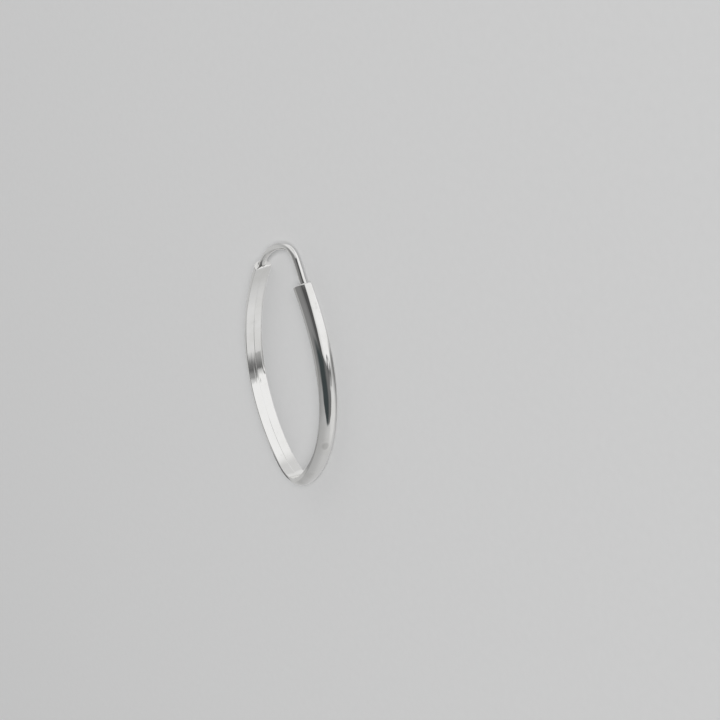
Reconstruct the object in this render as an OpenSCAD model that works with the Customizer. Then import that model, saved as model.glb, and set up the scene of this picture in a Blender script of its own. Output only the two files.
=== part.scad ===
// Oval hoop earring: a hollow half-round silver tube bent to a tapering oval, open at the top,
// with a round ear wire that bridges the opening. It lies on its side on the plane z = 0.
// +Z is across the band, +Y runs from the foot of the oval to the ear wire, and +X to the end
// that faces forward when it is worn. The origin is the middle of the box, at its bottom.

/* [Tube] */
// Width of the band, from side to side
tube_w = 2.7; // [2.5:0.1:3.2]
// Thickness of the band, from the flat inside to the top of the dome
tube_t = 1.3; // [1.25:0.05:1.5]
// Thickness of the sheet that the tube is folded from
wall = 0.22; // [0.18:0.02:0.26]
// Height above the flat inside at which the dome starts
dome_start = 0.48; // [0.42:0.02:0.54]
// Bevel along the two inner corners
corner = 0.1; // [0.06:0.02:0.14]
// Width of the seam down the middle of the flat inside
seam_w = 0.12; // [0.08:0.02:0.16]
// Depth of the seam
seam_d = 0.06; // [0.04:0.01:0.1]

/* [Oval] */
// Radius of the flat inside round the foot of the oval
foot_r = 3.3; // [2.8:0.1:3.8]
// Radius of the flat inside along the two flanks
flank_r = 19; // [18:0.5:21]
// Radius of the flat inside on the shoulders
shoulder_r = 34; // [30:1:38]
// Turn from straight down at which the foot ends and a flank starts
foot_turn = 36.5; // [35:0.5:38]
// Turn from straight down at which a flank ends and a shoulder starts
flank_turn = 113; // [110:0.5:115]
// Turn from straight down at which the tube ends
end_turn = 124.3; // [122.5:0.1:126]
// Turn taken up by the solid plug that closes each end
plug_turn = 1.6; // [1.4:0.1:2]

/* [Ear wire] */
// Diameter of the wire
wire_d = 0.86; // [0.8:0.02:0.9]
// Gap all round the wire where it sits in a plug
wire_gap = 0.03; // [0.02:0.01:0.05]
// Height of the wire's middle above the flat inside
wire_height = 0.68; // [0.66:0.01:0.7]
// Turn of each tail, inside its plug
tail_turn = 1.5; // [1.2:0.1:1.5]
// Radius of the small bend by which the wire leaves the front end
exit_r = 3; // [2:0.5:4]
// Turn of that bend, away from the oval
exit_turn = 9; // [6:1:10]
// Turn of the nearly straight rise
rise_turn = 4; // [3:0.5:5]
// Radius of the bend at the top
top_r = 2.4; // [2:0.1:2.8]
// Turn of the bend at the top
top_turn = 66; // [64:1:68]

/* [Hidden] */
$fn = 96;
tube_colour = "silver";
wire_colour = "gainsboro";

// The dome is one arc through the two sides and the top
dome_rise = tube_t - dome_start;
dome_r = (pow(tube_w / 2, 2) + pow(dome_rise, 2)) / (2 * dome_rise);

// A point on a circle of radius 1; a bend that turns left stands on its own heading
function spoke(a) = [cos(a), sin(a)];

// Centres of the arcs of the flat inside, with the foot of the oval at the origin
foot_c = [0, foot_r];
flank_c = foot_c + (foot_r - flank_r) * spoke(foot_turn - 90);
shoulder_c = flank_c + (flank_r - shoulder_r) * spoke(flank_turn - 90);

// Where the wire leaves the front end, and the headings along it from there to the back end
front_heading = end_turn - 90;
exit_heading = front_heading - exit_turn;
rise_heading = exit_heading + rise_turn;
top_heading = rise_heading + top_turn;
back_heading = 180 - front_heading;
tail_r = shoulder_r + wire_height;
seat = shoulder_c + tail_r * spoke(front_heading);

// The rise and the sweep down to the back end take the radii that close the wire's path
way_left = [-2 * seat.x, 0] + exit_r * (spoke(exit_heading) - spoke(front_heading))
  - top_r * (spoke(top_heading) - spoke(rise_heading));
rise_way = spoke(rise_heading) - spoke(exit_heading);
sweep_way = spoke(back_heading) - spoke(top_heading);
way_det = rise_way.x * sweep_way.y - rise_way.y * sweep_way.x;
rise_r = (way_left.x * sweep_way.y - way_left.y * sweep_way.x) / way_det;
sweep_r = (rise_way.x * way_left.y - rise_way.y * way_left.x) / way_det;
exit_c = seat + exit_r * spoke(front_heading);
rise_c = exit_c - (exit_r + rise_r) * spoke(exit_heading);
top_c = rise_c + (rise_r - top_r) * spoke(rise_heading);
sweep_c = top_c + (top_r - sweep_r) * spoke(top_heading);

// The box reaches from the outside of the foot to the top of the wire
top_y = top_c.y + top_r + wire_d / 2;
middle_y = (top_y - tube_t) / 2;

// The hole in a plug runs a little way past both its faces
hole_d = wire_d + 2 * wire_gap;
hole_past = 0.1;
plug_length = PI / 180 * plug_turn * tail_r;

// Moves in a whole step and a fine one, so that each bend meets the next without a gap
module place(p) {
  whole = [for (v = p) round(v * 100) / 100];
  translate(whole) translate(p - whole) children();
}

// Turns a section, drawn with its middle at the origin, round a centre
module bend(centre, r, from, turn) {
  place([centre.x, centre.y, 0]) rotate_extrude(angle = turn, start = from)
    place([r, 0, 0]) children();
}

// Half-round outline of the band, set in from its surface
module outline(inset) {
  side = tube_w / 2 - inset;
  intersection() {
    translate([0, tube_t - dome_r]) circle(dome_r - inset);
    polygon([[-side + corner, inset], [side - corner, inset], [side, inset + corner],
      [side, tube_t], [-side, tube_t], [-side, inset + corner]]);
  }
}

// Section of a plugged end: solid, with the seam in its flat side
module plug_section() {
  rotate(-90) difference() {
    outline(0);
    polygon([[-seam_w / 2, -seam_d], [seam_w / 2, -seam_d], [seam_w / 2, 0], [0, seam_d],
      [-seam_w / 2, 0]]);
  }
}

// Section of the tube: the same, hollow
module tube_section() {
  difference() {
    plug_section();
    rotate(-90) outline(wall);
  }
}

// The front half of the tube above the foot, with its plug
module tube_side() {
  bend(flank_c, flank_r, foot_turn - 90, flank_turn - foot_turn) tube_section();
  bend(shoulder_c, shoulder_r, flank_turn - 90, end_turn - plug_turn - flank_turn)
    tube_section();
  bend(shoulder_c, shoulder_r, front_heading - plug_turn, plug_turn) plug_section();
}

// Hole for a tail of the wire, square to the end of the tube
module wire_hole() {
  translate([seat.x, seat.y, 0]) rotate([90, 0, front_heading])
    translate([0, 0, -hole_past]) cylinder(d = hole_d, h = plug_length + 2 * hole_past);
}

// Both halves of a mirrored pair
module both_sides() {
  children();
  mirror([1, 0, 0]) children();
}

// Hollow band, closed at both ends
module hoop_tube() {
  color(tube_colour) translate([0, -middle_y, tube_w / 2]) difference() {
    union() {
      bend(foot_c, foot_r, -foot_turn - 90, 2 * foot_turn) tube_section();
      both_sides() tube_side();
    }
    both_sides() wire_hole();
  }
}

// Round wire from the front end, over the opening and into the back end
module ear_wire() {
  color(wire_colour) translate([0, -middle_y, tube_w / 2]) {
    both_sides() bend(shoulder_c, tail_r, front_heading - tail_turn, tail_turn) circle(d = wire_d);
    bend(exit_c, exit_r, exit_heading + 180, exit_turn) circle(d = wire_d);
    bend(rise_c, rise_r, exit_heading, rise_turn) circle(d = wire_d);
    bend(top_c, top_r, rise_heading, top_turn) circle(d = wire_d);
    bend(sweep_c, sweep_r, top_heading, back_heading - top_heading) circle(d = wire_d);
  }
}

hoop_tube();
ear_wire();
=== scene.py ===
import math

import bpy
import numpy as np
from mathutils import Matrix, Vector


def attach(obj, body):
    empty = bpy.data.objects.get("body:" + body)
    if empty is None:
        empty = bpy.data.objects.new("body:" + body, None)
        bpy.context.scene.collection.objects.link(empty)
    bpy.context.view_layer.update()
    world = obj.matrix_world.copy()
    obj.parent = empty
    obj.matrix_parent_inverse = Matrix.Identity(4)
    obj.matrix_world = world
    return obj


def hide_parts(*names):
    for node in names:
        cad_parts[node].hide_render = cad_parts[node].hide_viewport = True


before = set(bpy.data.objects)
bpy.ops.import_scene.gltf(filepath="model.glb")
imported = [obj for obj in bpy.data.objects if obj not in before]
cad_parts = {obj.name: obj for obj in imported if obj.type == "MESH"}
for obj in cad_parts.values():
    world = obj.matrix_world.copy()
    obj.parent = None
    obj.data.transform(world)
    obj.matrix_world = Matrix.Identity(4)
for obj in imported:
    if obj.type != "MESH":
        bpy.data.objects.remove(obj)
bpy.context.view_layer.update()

# Oval hoop earring of polished silver: a hollow half-round tube with a seam down its flat inside,
# and a round ear wire over the opening. It lies on its side on a pale floor, in soft light.
# Sizes are in millimetres and turns in degrees, unless a comment gives another unit. The meshes
# are made in metres.

MM = 0.001

# The band's section, with inner corners a little tighter than the solid part's
TUBE_W = 2.7
TUBE_T = 1.3
DOME_START = 0.48
CORNER = 0.04
# The oval: the bends of one side, from the foot up, and the turns at which they end
RADII = (3.3, 19.0, 34.0)
TURNS = (36.5, 113.0, 124.3)
# The ear wire: diameter, gap round it, height of its middle above the flat inside, and the
# length of each tail
WIRE_D = 0.86
WIRE_GAP = 0.03
WIRE_HEIGHT = 0.68
TAIL = 0.85
# Its bends: out of the front end, up the nearly straight rise, and over the top
EXIT_R, EXIT_TURN = 3.0, 9.0
RISE_TURN = 4.0
TOP_R, TOP_TURN = 2.4, 66.0

# Softness and small forms that the solid part leaves out
EASE = 1.0  # how far one bend of the band passes softly into the next
WIRE_EASE = 0.3  # the same along the wire
ROUND = 0.02  # rounding of the section's edges
DOME_POWER = 2.8  # a drawn tube's dome is a little flatter on top than an arc
LEAN = 0.07  # how far the short sides lean in toward the dome
DIP = 0.03  # how far the two halves of the flat inside slope down to the seam
TILT = 0.065  # slope across the flat inside of the back half
TILT_FROM, TILT_FULL = 1.0, 6.0  # distances from the foot over which it sets in
# The back half's lower inner edge rolls off: depth, width, and where it sets in
ROLL, ROLL_W = 0.12, 0.45
ROLL_FROM, ROLL_FULL = 15.5, 18.5
# The front half's upper inner edge rolls off too: depth, width, where it sets in and where it ends
FRONT_ROLL, FRONT_ROLL_W = 0.24, 0.6
FRONT_FROM, FRONT_FULL, FRONT_LAST, FRONT_END = 5.0, 11.0, 19.0, 23.0
SEAM_W, SEAM_D = 0.06, 0.007  # width and depth of the seam
# The seam opens a little at the foot: how far, from where, and where it has opened fully
FOOT_SEAM, FOOT_SEAM_FROM, FOOT_SEAM_FULL = 0.016, 8.0, 4.5
RIM = 0.13  # rounding of the rim at each end
CROWN = 0.05  # swelling of the plugs' faces
MOUTH = 0.03  # rounding of each hole's mouth
HOLE_DEPTHS = (0.3, 0.6, 0.9)  # how deep in a hole the rings of its wall lie

# Fineness of the paths and meshes
PATH_STEP = 0.01
SOFT_REACH = 5  # softening reaches this many times its own width
BAND_STATIONS, WIRE_STATIONS = 230, 160  # along one side of the oval, and along the wire
BAND_SPACING, WIRE_POINTS = 0.052, 40  # round the band, and round the wire
BAND_DENSITY = (0.6, 2.2)  # stations on a straight, and how many more where the path bends
WIRE_DENSITY = (0.3, 1.0)
DOME_POINTS, OUTLINE_STEP = 120, 0.005  # half the dome's curve, and the outline to be rounded
EDGE_CROWD, SEAM_CROWD, SEAM_CROWD_W = 0.25, 5, 1.5  # how points crowd at edges and by the seam
RIM_RINGS, FACE_RINGS = 6, 10  # over the rounding of a rim, and over a plug's face

# Depth of the silver's slow swell, of the lines left by drawing it, and of hairline scratches
SWELL, DRAWN, HAIR = 0.025, 0.007, 0.00016
# How finely each of them, the worn patches and the tarnish specks repeat
SWELL_SCALE, DRAWN_SCALE, HAIR_SCALE, CROSS_SCALE = 330.0, 3.0, 24.0, 17.0
PATCH_SCALE, SPECK_SCALE = 240.0, 700.0
CROSS_TURN = 0.35  # the second set of hairlines crosses the first, in radians
SMOOTHEST, WEAR = 0.04, 0.10  # roughness of the best polish, and what wear adds
# Colours of fresh silver, of the tube and the wire where they are handled, and of tarnish
FRESH = (0.975, 0.972, 0.96, 1)
TUBE_SILVER = (0.915, 0.91, 0.89, 1)
WIRE_SILVER = (0.92, 0.915, 0.895, 1)
TARNISH, TARNISH_SHARE = (0.80, 0.795, 0.78, 1), 0.5
# A faint stain low on the front half's dome: middle, radius, the share of the radius inside which
# it is full, the weight of each axis in its distance, colour, and how much of that shows
STAIN, STAIN_R, STAIN_FULL = (9.21, -9.07, 1.85), 0.75, 0.5
STAIN_SQUASH = (1.0, 0.75, 1.0)
STAIN_COLOUR, STAIN_SHARE = (0.74, 0.735, 0.72, 1), 0.9

# The floor: how many metres it reaches each way, how finely its grain repeats, and its two greys
FLOOR_REACH, GRAIN_SCALE = 3.0, 900.0
FLOOR_DARKER, FLOOR_PALER = (0.70, 0.70, 0.70, 1), (0.73, 0.73, 0.73, 1)
# The lamps: name, place and size in metres, and power in watts
LAMPS = (("overhead", (0.3, 0.1, 1.8), 2.2, 2.6),
         ("beside_camera", (2.85, 1.29, 1.9), 1.8, 130.0))

# The camera: where it aims, and its direction and distance from there
CAMERA_AIM = (18.87, 6.50, 1.55)
CAMERA_AZIMUTH, CAMERA_ELEVATION, CAMERA_ROLL = 114.91, 28.97, 106.24
CAMERA_REACH = 259.7
LENS, SENSOR = 101.75, 36
CLIP_START, CLIP_END = 0.01, 10  # in metres


# Paths, each as points in the hoop's plane and headings along them

def spoke(turn):
    """Point at this turn on a circle of radius 1."""
    return np.array([math.cos(math.radians(turn)), math.sin(math.radians(turn))])


def swept(bends, lengths, ease, heading, mirrored=False):
    """Integrates a chain of bends (1 / radius, left is positive), softened where they meet. A
    mirrored chain has its mirror image before its start, which counts in the softening alone."""
    whole = sum(lengths)
    pad = (SOFT_REACH + 1) * ease
    s = np.arange(-pad - (whole if mirrored else 0), whole + pad, PATH_STEP)
    along = np.abs(s) if mirrored else s
    bend = np.array(bends)[np.searchsorted(np.cumsum(lengths)[:-1], along)]
    reach = np.arange(-SOFT_REACH * ease, SOFT_REACH * ease + PATH_STEP / 2, PATH_STEP)
    kernel = np.exp(-0.5 * (reach / ease) ** 2)
    bend = np.convolve(bend, kernel / kernel.sum(), mode="same")
    kept = s > -PATH_STEP / 2
    s = s[kept]
    bend = bend[kept]

    def total(v):
        return np.concatenate([[0], np.cumsum((v[1:] + v[:-1]) / 2 * PATH_STEP)])

    turned = heading + total(bend)
    return s, np.stack([total(np.cos(turned)), total(np.sin(turned))], 1), turned, whole


def oval_path(count):
    """Flat inside of the band from the back end to the front end, with the foot at the origin."""
    starts = (0,) + TURNS[:-1]
    arcs = list(zip(RADII, starts, TURNS))
    lengths = [r * math.radians(b - a) for r, a, b in arcs]
    end = sum(r * (spoke(b - 90) - spoke(a - 90)) for r, a, b in arcs)
    s, point, heading, whole = swept([1 / r for r in RADII], lengths, EASE, 0.0, mirrored=True)
    # more stations where the band bends more
    want = np.cumsum(BAND_DENSITY[0] + BAND_DENSITY[1] * np.gradient(heading, s))
    at = np.interp(np.linspace(0, want[s <= whole][-1], count), want, s)
    at = at - at[0]
    point = np.stack([np.interp(at, s, point[:, i]) for i in (0, 1)], 1)
    heading = np.interp(at, s, heading)
    # softening moves the ends a little, and this brings them back
    fit = end / point[-1]
    point = point * fit
    heading = np.unwrap(np.arctan2(np.sin(heading) * fit[1], np.cos(heading) * fit[0]))
    return (np.concatenate([point[:0:-1] * (-1, 1), point]),
            np.concatenate([-heading[:0:-1], heading]),
            np.concatenate([-at[:0:-1], at]))


def wire_path(end, count):
    """Middle of the wire from the front tail, over the opening, to the back tail."""
    front = TURNS[-1] - 90
    exit_heading = front - EXIT_TURN
    rise_heading = exit_heading + RISE_TURN
    top_heading = rise_heading + TOP_TURN
    back = 180 - front
    seat = end + WIRE_HEIGHT * spoke(front)
    # the rise and the sweep down to the back end take the radii that close the path
    left = (np.array([-2 * seat[0], 0]) + EXIT_R * (spoke(exit_heading) - spoke(front))
            - TOP_R * (spoke(top_heading) - spoke(rise_heading)))
    ways = np.stack([spoke(rise_heading) - spoke(exit_heading), spoke(back) - spoke(top_heading)], 1)
    rise_r, sweep_r = np.linalg.solve(ways, left)
    tail_bend = 1 / (RADII[-1] + WIRE_HEIGHT)
    bends = [tail_bend, -1 / EXIT_R, 1 / rise_r, 1 / TOP_R, 1 / sweep_r, tail_bend]
    arcs = ((EXIT_R, EXIT_TURN), (rise_r, RISE_TURN), (TOP_R, TOP_TURN), (sweep_r, back - top_heading))
    lengths = [TAIL] + [r * math.radians(t) for r, t in arcs] + [TAIL]
    start = math.radians(front + 90) - TAIL * tail_bend
    s, point, heading, whole = swept(bends, lengths, WIRE_EASE, start)
    want = np.cumsum(WIRE_DENSITY[0] + WIRE_DENSITY[1] * np.abs(np.gradient(heading, s)))
    at = np.interp(np.linspace(0, want[s <= whole][-1], count), want, s)
    heading = np.interp(at, s, heading)
    point = np.stack([np.interp(at, s, point[:, i]) for i in (0, 1)], 1)
    # both seats are met exactly: the little that the softening lost is spread along the wire
    front_at = np.array([np.interp(TAIL, s, np.interp(s, at, point[:, i])) for i in (0, 1)])
    back_at = np.array([np.interp(whole - TAIL, s, np.interp(s, at, point[:, i])) for i in (0, 1)])
    share = np.clip((at - TAIL) / (whole - 2 * TAIL), 0, 1)[:, None]
    point = point + (1 - share) * (seat - front_at) + share * (seat * (-1, 1) - back_at)
    return point, heading, at


# Sections, as points across the band and outward from the flat inside

def band_section(spacing):
    """Outline of the band: flat inside, short sides and dome, every edge softly rounded."""
    half, rise = TUBE_W / 2, TUBE_T - DOME_START
    top = half - LEAN
    dome = [(x, TUBE_T - rise * (x / top) ** DOME_POWER) for x in np.linspace(top, 0, DOME_POINTS)]
    side = [(0, 0), (half - CORNER, 0), (half, CORNER)] + dome
    outline = np.array(side + [(-x, y) for x, y in side[-2:0:-1]] + [(0, 0)])
    gone = np.concatenate([[0], np.cumsum(np.hypot(*np.diff(outline, axis=0).T))])
    fine = int(gone[-1] / OUTLINE_STEP)
    at = np.linspace(0, gone[-1], fine, endpoint=False)
    dense = np.stack([np.interp(at, gone, outline[:, i]) for i in (0, 1)], 1)
    reach = np.fft.fftfreq(fine, d=gone[-1] / fine)
    soft = np.exp(-2 * (math.pi * ROUND * reach) ** 2)
    dense = np.stack([np.fft.ifft(np.fft.fft(dense[:, i]) * soft).real for i in (0, 1)], 1)
    # the points crowd together at the edges and beside the seam
    bend = np.abs(np.gradient(np.unwrap(np.arctan2(*np.gradient(dense, axis=0).T)), at))
    by_seam = np.exp(-(dense[:, 0] / (SEAM_CROWD_W * SEAM_W)) ** 2) * (dense[:, 1] < CORNER)
    crowd = 1 + EDGE_CROWD * bend + SEAM_CROWD * by_seam
    want = np.concatenate([[0], np.cumsum(crowd)]) * (gone[-1] / fine)
    count = 2 * int(want[-1] / spacing / 2)
    pick = np.interp(np.linspace(0, want[-1], count, endpoint=False), want, np.arange(fine + 1)) % fine
    section = np.stack([np.interp(pick, np.arange(fine + 1), np.append(dense[:, i], dense[0, i]))
                        for i in (0, 1)], 1)
    # the flat inside dips to the seam, and the corners keep their place
    across, out = section.T
    inner = np.clip((CORNER * 1.5 - out) / CORNER, 0, 1)
    slope = DIP * np.clip(1 - np.abs(across) / (half - CORNER), 0, 1)
    seam = SEAM_D * np.exp(-(across / (SEAM_W / 2)) ** 2)
    return np.stack([across, out + inner * (slope + seam)], 1)


def ring_section(radius, count):
    """Points round a circle."""
    turn = np.linspace(0, 2 * math.pi, count, endpoint=False)
    return np.stack([radius * np.sin(turn), -radius * np.cos(turn)], 1)


# Meshes

def placed(point, heading, section, along=0.0):
    """A section set square to a path at a point, shifted along its heading."""
    ahead = np.array([math.cos(heading), math.sin(heading)])
    outward = np.array([math.sin(heading), -math.cos(heading)])
    flat = point + section[:, 1:2] * outward + along * ahead
    return np.column_stack([flat, section[:, 0]])


def tube_mesh(name, rings, marks, closed_ends=False):
    """Skin over rings of equal length; marks are the distances along that the texture uses."""
    rings = np.array(rings)
    count, around = rings.shape[:2]
    lift = np.array([0, -MIDDLE_Y, TUBE_W / 2])
    mesh = bpy.data.meshes.new(name)
    index = np.arange(count * around).reshape(count, around)
    a, b = index[:-1], index[1:]
    faces = np.stack([a, np.roll(a, -1, 1), np.roll(b, -1, 1), b], -1).reshape(-1, 4).tolist()
    if closed_ends:
        faces += [index[0][::-1].tolist(), index[-1].tolist()]
    mesh.from_pydata(((rings + lift) * MM).reshape(-1, 3).tolist(), [], faces)
    mesh.validate()
    gaps = np.linalg.norm(np.diff(rings[count // 2], axis=0), axis=1)
    girth = np.concatenate([[0], np.cumsum(gaps)])
    spot = np.stack([np.repeat(marks, around), np.tile(girth, count)], 1)
    layer = mesh.uv_layers.new(name="along_around")
    corner = np.zeros(len(mesh.loops), int)
    mesh.loops.foreach_get("vertex_index", corner)
    layer.data.foreach_set("uv", spot[corner].ravel())
    mesh.shade_smooth()
    obj = bpy.data.objects.new(name, mesh)
    bpy.context.collection.objects.link(obj)
    return obj


def plug_rings(point, heading, section, side):
    """Rounded rim, slightly swollen face and the wire's hole, from the band's end inward."""
    middle = np.array([0, WIRE_HEIGHT])
    hole_r = WIRE_D / 2 + WIRE_GAP
    way = section - middle
    out = way / np.hypot(*way.T)[:, None]
    rings = []
    # the rim, the face, the mouth of the hole and its wall
    for t in np.radians(np.linspace(0, 90, RIM_RINGS + 1)[1:]):
        ring = section - out * RIM * (1 - math.cos(t))
        rings.append(placed(point, heading, ring, side * (RIM * math.sin(t) - RIM)))
    edge = section - out * RIM
    mouth = middle + out * (hole_r + MOUTH)
    for t in np.linspace(0, 1, FACE_RINGS + 1)[1:]:
        ring = edge + (mouth - edge) * t
        rings.append(placed(point, heading, ring, side * CROWN * math.sin(t * math.pi / 2)))
    for t in np.radians((30, 60, 90)):
        ring = middle + out * (hole_r + MOUTH * (1 - math.sin(t)))
        rings.append(placed(point, heading, ring, side * (CROWN - MOUTH * (1 - math.cos(t)))))
    for depth in HOLE_DEPTHS:
        rings.append(placed(point, heading, middle + out * hole_r, -side * depth))
    return rings


def ease_in(value, low, high):
    """0 at low and before it, 1 at high and past it, soft between; high may be the lower one."""
    t = np.clip((value - low) / (high - low), 0, 1)
    return t * t * (3 - 2 * t)


def hoop_tube():
    """The band with its small forms, which come and go along it, and the plugs at its ends."""
    point, heading, at = oval_path(BAND_STATIONS)
    section = band_section(BAND_SPACING)
    across, out = section.T
    # how much of each form there is at each station
    tilt = TILT * ease_in(-at, TILT_FROM, TILT_FULL)
    roll = ROLL * ease_in(-at, ROLL_FROM, ROLL_FULL)
    front_roll = (FRONT_ROLL * ease_in(at, FRONT_FROM, FRONT_FULL)
                  * ease_in(at, FRONT_END, FRONT_LAST))
    opened = FOOT_SEAM * ease_in(np.abs(at), FOOT_SEAM_FROM, FOOT_SEAM_FULL)
    # where in the section each form lies, all of them fading out toward the dome
    share = np.clip(1 - out / DOME_START, 0, 1)
    lower = np.clip((-across - TUBE_W / 2) / ROLL_W + 1, 0, 1) ** 2
    upper = np.clip((across - TUBE_W / 2) / FRONT_ROLL_W + 1, 0, 1) ** 2
    groove = np.exp(-(across / (SEAM_W / 2)) ** 2)
    sections = [np.stack([across, out + share * (r * lower + f * upper + o * groove - t * across)], 1)
                for r, f, o, t in zip(roll, front_roll, opened, tilt)]
    # the rims are rounded inside the band's length
    rings = [placed(p, h, s) for p, h, s in zip(point, heading, sections)]
    rings[-1] = placed(point[-1], heading[-1], sections[-1], -RIM)
    rings[0] = placed(point[0], heading[0], sections[0], RIM)
    front = plug_rings(point[-1], heading[-1], sections[-1], 1)
    back = plug_rings(point[0], heading[0], sections[0], -1)
    rings = back[::-1] + rings + front
    marks = np.concatenate([np.full(len(back), at[0]), at, np.full(len(front), at[-1])])
    return tube_mesh("hoop_tube_skin", rings, marks)


def ear_wire():
    """The round wire with its two tails."""
    point, heading, at = WIRE_LINE
    section = ring_section(WIRE_D / 2, WIRE_POINTS)
    rings = [placed(p, h, section) for p, h in zip(point, heading)]
    return tube_mesh("ear_wire_skin", rings, at, closed_ends=True)


# Shaders

class Graph:
    """Short ways to add nodes to a tree."""

    def __init__(self, tree):
        self.tree = tree
        tree.nodes.clear()

    def put(self, socket, value):
        """Links a socket to another, or sets it to a plain value."""
        if isinstance(value, bpy.types.NodeSocket):
            self.tree.links.new(value, socket)
        else:
            socket.default_value = value

    def node(self, kind, inputs=(), **settings):
        """A node with these settings and inputs."""
        made = self.tree.nodes.new(kind)
        for key, value in settings.items():
            setattr(made, key, value)
        for key, value in dict(inputs).items():
            self.put(made.inputs[key], value)
        return made

    def math(self, operation, *values):
        made = self.node("ShaderNodeMath", operation=operation)
        for socket, value in zip(made.inputs, values):
            self.put(socket, value)
        return made.outputs[0]

    def plus(self, a, b):
        return self.math("ADD", a, b)

    def minus(self, a, b):
        return self.math("SUBTRACT", a, b)

    def times(self, a, b):
        return self.math("MULTIPLY", a, b)

    def held(self, value, least, most):
        """The value, kept between two limits."""
        return self.math("MINIMUM", self.math("MAXIMUM", value, least), most)

    def vector(self, operation, a, b):
        return self.node("ShaderNodeVectorMath", {0: a, 1: b}, operation=operation).outputs

    def edge(self, value, low, high):
        """0 at low and before it, 1 at high and past it, soft between; high may be the lower one."""
        falls = high < low
        made = self.node("ShaderNodeMapRange", {"Value": value, "From Min": min(low, high),
                                                "From Max": max(low, high), "To Min": float(falls),
                                                "To Max": float(not falls)},
                         interpolation_type="SMOOTHSTEP")
        return made.outputs["Result"]

    def mix(self, factor, a, b):
        """Colour a where the factor is 0, and b where it is 1."""
        made = self.node("ShaderNodeMix", data_type="RGBA")
        self.put(made.inputs[0], factor)
        self.put(made.inputs[6], a)
        self.put(made.inputs[7], b)
        return made.outputs[2]


def grey(level, tint=(0, 0, 0)):
    """A display grey from 0 to 255 as a linear colour, with a tint in the same steps."""
    parts = [(level + t) / 255 for t in tint]
    return tuple(p / 12.92 if p < 0.04045 else ((p + 0.055) / 1.055) ** 2.4 for p in parts) + (1.0,)


def camera_axes():
    """Right, up and backward directions of the camera."""
    a, e, r = (math.radians(v) for v in (CAMERA_AZIMUTH, CAMERA_ELEVATION, CAMERA_ROLL))
    back = Vector((math.sin(a) * math.cos(e), -math.cos(a) * math.cos(e), math.sin(e)))
    level = Vector((math.cos(a), math.sin(a), 0))
    upright = back.cross(level)
    right = level * math.cos(r) - upright * math.sin(r)
    up = upright * math.cos(r) + level * math.sin(r)
    return right, up, back


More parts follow.
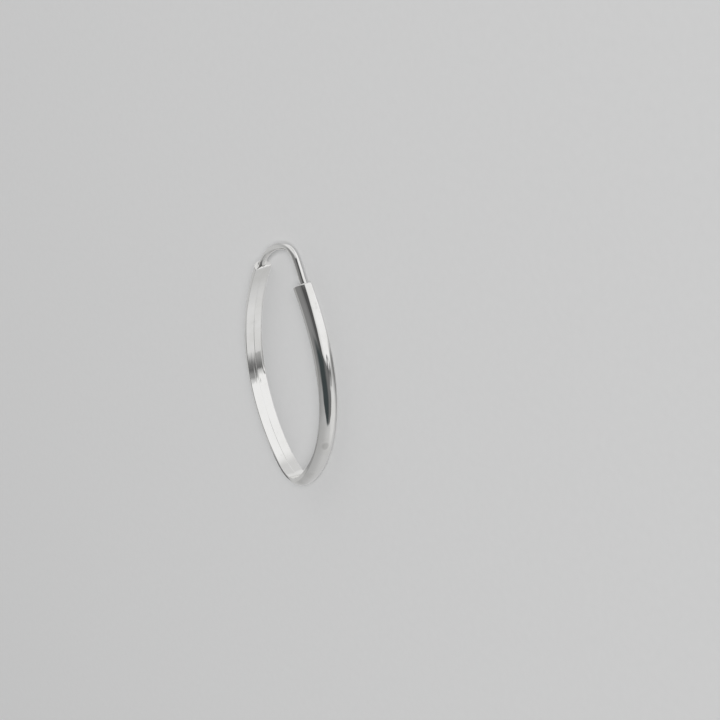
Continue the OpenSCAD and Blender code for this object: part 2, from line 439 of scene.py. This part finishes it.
def make_surroundings():
    """The room that the silver reflects, laid out round the earring as seen from the camera's
    side: a bright window wall to the right, the dark of the room in front, pale floor below."""
    world = bpy.data.worlds.new("room")
    bpy.context.scene.world = world
    world.use_nodes = True
    g = Graph(world.node_tree)
    way = g.node("ShaderNodeTexCoord").outputs["Generated"]
    right, up, back = (g.vector("DOT_PRODUCT", way, tuple(v))["Value"] for v in camera_axes())
    # how far round to the right of the camera a direction points, and how far up, in degrees
    side = g.math("DEGREES", g.math("ARCTAN2", right, back))
    high = g.math("DEGREES", g.math("ARCSINE", up))

    def inside(*edges):
        """1 inside all these soft edges, each a measure with where it gives 0 and where 1."""
        masks = [g.edge(*each) for each in edges]
        made = masks[0]
        for mask in masks[1:]:
            made = g.times(made, mask)
        return made

    def laid(under, level, *edges):
        """The colour so far, with a grey laid over it inside these edges."""
        return g.mix(inside(*edges), under, grey(level))

    # pale room, lighter to the right, with a mid-grey wall to the left and two paler ones behind
    colour = g.mix(g.edge(right, -0.9, 0.9), grey(168), grey(197))
    colour = laid(colour, 128, (side, -112, -80), (side, 0, -25), (high, -56, -18))
    colour = laid(colour, 190, (side, -112, -126), (high, -42, -26), (high, 30, 14))
    colour = laid(colour, 197, (side, 146, 164), (high, -34, -20), (high, 30, 14))
    # two darker things far behind, which show only in the band's sides beside its foot
    colour = laid(colour, 106, (side, -136, -140), (side, -158, -153), (high, -25, -21),
                  (high, -13.1, -14.4))
    colour = laid(colour, 144, (side, -101, -105), (side, -123, -120.5), (high, -42, -37),
                  (high, -23.2, -24.6))
    # pale overhead
    colour = laid(colour, 222, (high, 26, 54))
    # the window's light on what lies under it, and a dim band between the two with a darker core
    colour = laid(colour, 216, (side, 66, 80), (side, 138, 108), (high, -55, -42), (high, -12, -26))
    colour = laid(colour, 168, (side, 76, 92), (side, 168, 148), (high, -17, -8), (high, 14, 6))
    colour = laid(colour, 124, (side, 98, 114), (side, 168, 150), (high, -9, -2), (high, 14, 8))
    # the window: its left edge leans, and its sill steps up once and then rises to the right
    slant = g.minus(side, g.times(g.held(high, 0.0, 36.0), 0.75))
    step = inside((side, 66, 69), (side, 75, 71))
    sill = g.plus(g.plus(-12.0, g.times(step, 7.0)), g.times(g.edge(side, 72, 112), 15.0))
    above = g.minus(high, sill)
    soft = g.plus(3.0, g.times(g.edge(side, 66, 84), 6.0))
    window = inside((slant, 17, 27), (side, 182, 160), (g.math("DIVIDE", above, soft), 0, 1))
    pane = g.mix(g.edge(side, 22, 60), grey(214), grey(237))
    pane = g.mix(g.edge(high, 46, 64), pane, grey(206))
    colour = g.mix(window, colour, pane)
    # the room in front: a paler stretch and a dark upright
    rise = g.minus(high, g.times(side, 0.25))
    colour = laid(colour, 112, (side, -42, -20), (slant, 23, 17), (high, -30, -10), (rise, 26, 16))
    colour = laid(colour, 80, (side, -16, -8), (slant, 24, 16), (high, -30, -10), (rise, 24, 15))
    # a dark mass low down, round below, with a right edge that leans out and steps
    lean = g.times(g.held(g.minus(-27.0, high), 0.0, 14.0), 0.9)
    bound = g.plus(g.plus(69.0, lean), g.times(g.edge(high, -24.5, -22.5), 8.0))
    off = g.times(g.minus(side, 22.0), 1 / 50)
    depth = g.minus(high, g.times(g.times(off, off), 11.0))
    upper = g.math("MAXIMUM", g.edge(side, 6, 20), g.edge(high, -8, -22))
    mass = g.times(inside((side, -54, -40), (g.minus(side, bound), 2, -3), (depth, -69.5, -64.5),
                          (above, 0, -3)), upper)
    # it is darkest on the left, and on its right it has paler and darker bands one above another
    drop = g.times(g.math("MINIMUM", g.plus(high, 30.0), 0.0), 1.1)
    tone = g.mix(g.edge(g.plus(side, drop), 8, 40), grey(66, (-4, 2, 3)), grey(112))
    shade = g.mix(g.edge(high, -12, -24), grey(100), grey(166))
    shade = g.mix(g.edge(high, -26.8, -29), shade, grey(112))
    shade = g.mix(g.edge(high, -12.5, -8.5), shade, grey(142))
    tone = g.mix(g.edge(side, 63, 68), tone, shade)
    colour = g.mix(mass, colour, tone)
    # a thin dark post
    colour = laid(colour, 84, (side, 57, 59), (side, 62.3, 60.3), (high, -22, -17), (high, -3.5, -6))
    background = g.node("ShaderNodeBackground", {"Color": colour, "Strength": 1.0})
    g.node("ShaderNodeOutputWorld", {"Surface": background.outputs[0]})


def silver(name, handled, stained=False):
    """Polished silver that has been worn: drawn lines along it, fine scratches, a little tarnish."""
    material = bpy.data.materials.new(name)
    material.use_nodes = True
    g = Graph(material.node_tree)
    spot = g.node("ShaderNodeTexCoord").outputs

    def noise(vector, scale, detail=2.0, roughness=0.5):
        """Soft noise round 0.5."""
        made = g.node("ShaderNodeTexNoise", {"Vector": vector, "Scale": scale, "Detail": detail,
                                             "Roughness": roughness})
        return made.outputs["Fac"]

    def along(stretch, turn=0.0):
        """Coordinates drawn out along the band: the smaller the stretch, the longer the marks."""
        return g.node("ShaderNodeMapping", {"Vector": spot["UV"], "Scale": (stretch, 1.0, 1.0),
                                            "Rotation": (0.0, 0.0, turn)}).outputs[0]

    # heights are in millimetres: a slow swell, the lines of the drawing, and hairlines two ways
    swell = g.times(noise(spot["Object"], SWELL_SCALE, 1.0), SWELL)
    drawn = g.times(noise(along(0.05), DRAWN_SCALE, 1.0), DRAWN)
    hair = noise(along(0.03), HAIR_SCALE, 3.0, 0.6)
    cross = noise(along(0.04, CROSS_TURN), CROSS_SCALE, 3.0, 0.6)
    fine = g.times(g.plus(hair, cross), HAIR)
    height = g.plus(g.plus(swell, drawn), fine)
    bump = g.node("ShaderNodeBump", {"Height": height, "Strength": 1.0, "Distance": MM})
    # handling dulls it in patches, and tarnish darkens it a little in spots
    patch = noise(spot["Object"], PATCH_SCALE, 3.0)
    worn = g.times(g.edge(hair, 0.48, 0.7), g.edge(patch, 0.38, 0.68))
    rough = g.plus(SMOOTHEST, g.times(worn, WEAR))
    base = g.mix(g.edge(patch, 0.42, 0.72), FRESH, handled)
    speck = g.edge(noise(spot["Object"], SPECK_SCALE, 2.0), 0.64, 0.80)
    base = g.mix(g.times(speck, TARNISH_SHARE), base, TARNISH)
    if stained:
        centre = [v * MM * s for v, s in zip(STAIN, STAIN_SQUASH)]
        squashed = g.vector("MULTIPLY", spot["Object"], STAIN_SQUASH)[0]
        away = g.vector("DISTANCE", squashed, centre)["Value"]
        faint = g.edge(away, STAIN_R * MM, STAIN_FULL * STAIN_R * MM)
        base = g.mix(g.times(faint, STAIN_SHARE), base, STAIN_COLOUR)
    shader = g.node("ShaderNodeBsdfPrincipled", {"Base Color": base, "Metallic": 1.0,
                                                 "Roughness": rough, "Normal": bump.outputs[0]})
    g.node("ShaderNodeOutputMaterial", {"Surface": shader.outputs[0]})
    return material


def floor_finish():
    """A pale matt surface with a very fine grain."""
    material = bpy.data.materials.new("pale_floor")
    material.use_nodes = True
    g = Graph(material.node_tree)
    spot = g.node("ShaderNodeTexCoord").outputs["Object"]
    grain = g.node("ShaderNodeTexNoise", {"Vector": spot, "Scale": GRAIN_SCALE, "Detail": 4.0})
    colour = g.mix(grain.outputs["Fac"], FLOOR_DARKER, FLOOR_PALER)
    shader = g.node("ShaderNodeBsdfPrincipled", {"Base Color": colour, "Roughness": 0.9})
    g.node("ShaderNodeOutputMaterial", {"Surface": shader.outputs[0]})
    return material


def make_floor():
    """The plane z = 0 that the earring lies on."""
    reach = FLOOR_REACH
    corners = [(-reach, -reach, 0), (reach, -reach, 0), (reach, reach, 0), (-reach, reach, 0)]
    mesh = bpy.data.meshes.new("floor")
    mesh.from_pydata(corners, [], [(0, 1, 2, 3)])
    floor = bpy.data.objects.new("floor", mesh)
    bpy.context.collection.objects.link(floor)
    floor.data.materials.append(floor_finish())
    # the silver mirrors the room all round, as it does where it hangs free
    floor.visible_glossy = False


def add_light(name, place, size, power):
    """A round soft lamp that points at the earring and doesn't show in the silver."""
    data = bpy.data.lights.new(name, "AREA")
    data.shape = "DISK"
    data.size = size
    data.energy = power
    lamp = bpy.data.objects.new(name, data)
    lamp.location = place
    lamp.rotation_euler = (-Vector(place)).to_track_quat("-Z", "Y").to_euler()
    lamp.visible_glossy = False
    bpy.context.collection.objects.link(lamp)


def make_camera():
    """The camera at the photograph's angle to the hoop."""
    right, up, back = camera_axes()
    data = bpy.data.cameras.new("camera")
    data.lens = LENS
    data.sensor_width = SENSOR
    data.dof.use_dof = False
    data.clip_start = CLIP_START
    data.clip_end = CLIP_END
    camera = bpy.data.objects.new("camera", data)
    place = Vector(CAMERA_AIM) * MM + back * (CAMERA_REACH * MM)
    turned = Matrix((right, up, back)).transposed().to_4x4()
    camera.matrix_world = Matrix.Translation(place) @ turned
    bpy.context.collection.objects.link(camera)
    bpy.context.scene.camera = camera


# The band's middle stands halfway between the outside of its foot and the top of the wire
BAND_END = oval_path(BAND_STATIONS)[0][-1]
WIRE_LINE = wire_path(BAND_END, WIRE_STATIONS)
WIRE_TOP = WIRE_LINE[0][:, 1].max() + WIRE_D / 2
MIDDLE_Y = (WIRE_TOP - TUBE_T) / 2

tube = hoop_tube()
wire = ear_wire()
tube.data.materials.append(silver("polished_silver", TUBE_SILVER, stained=True))
wire.data.materials.append(silver("silver_wire", WIRE_SILVER))
for piece, node in ((tube, "hoop_tube"), (wire, "ear_wire")):
    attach(piece, "root")
    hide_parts(node)

make_floor()
make_surroundings()
for lamp in LAMPS:
    add_light(*lamp)
make_camera()
bpy.context.scene.view_settings.view_transform = "Standard"
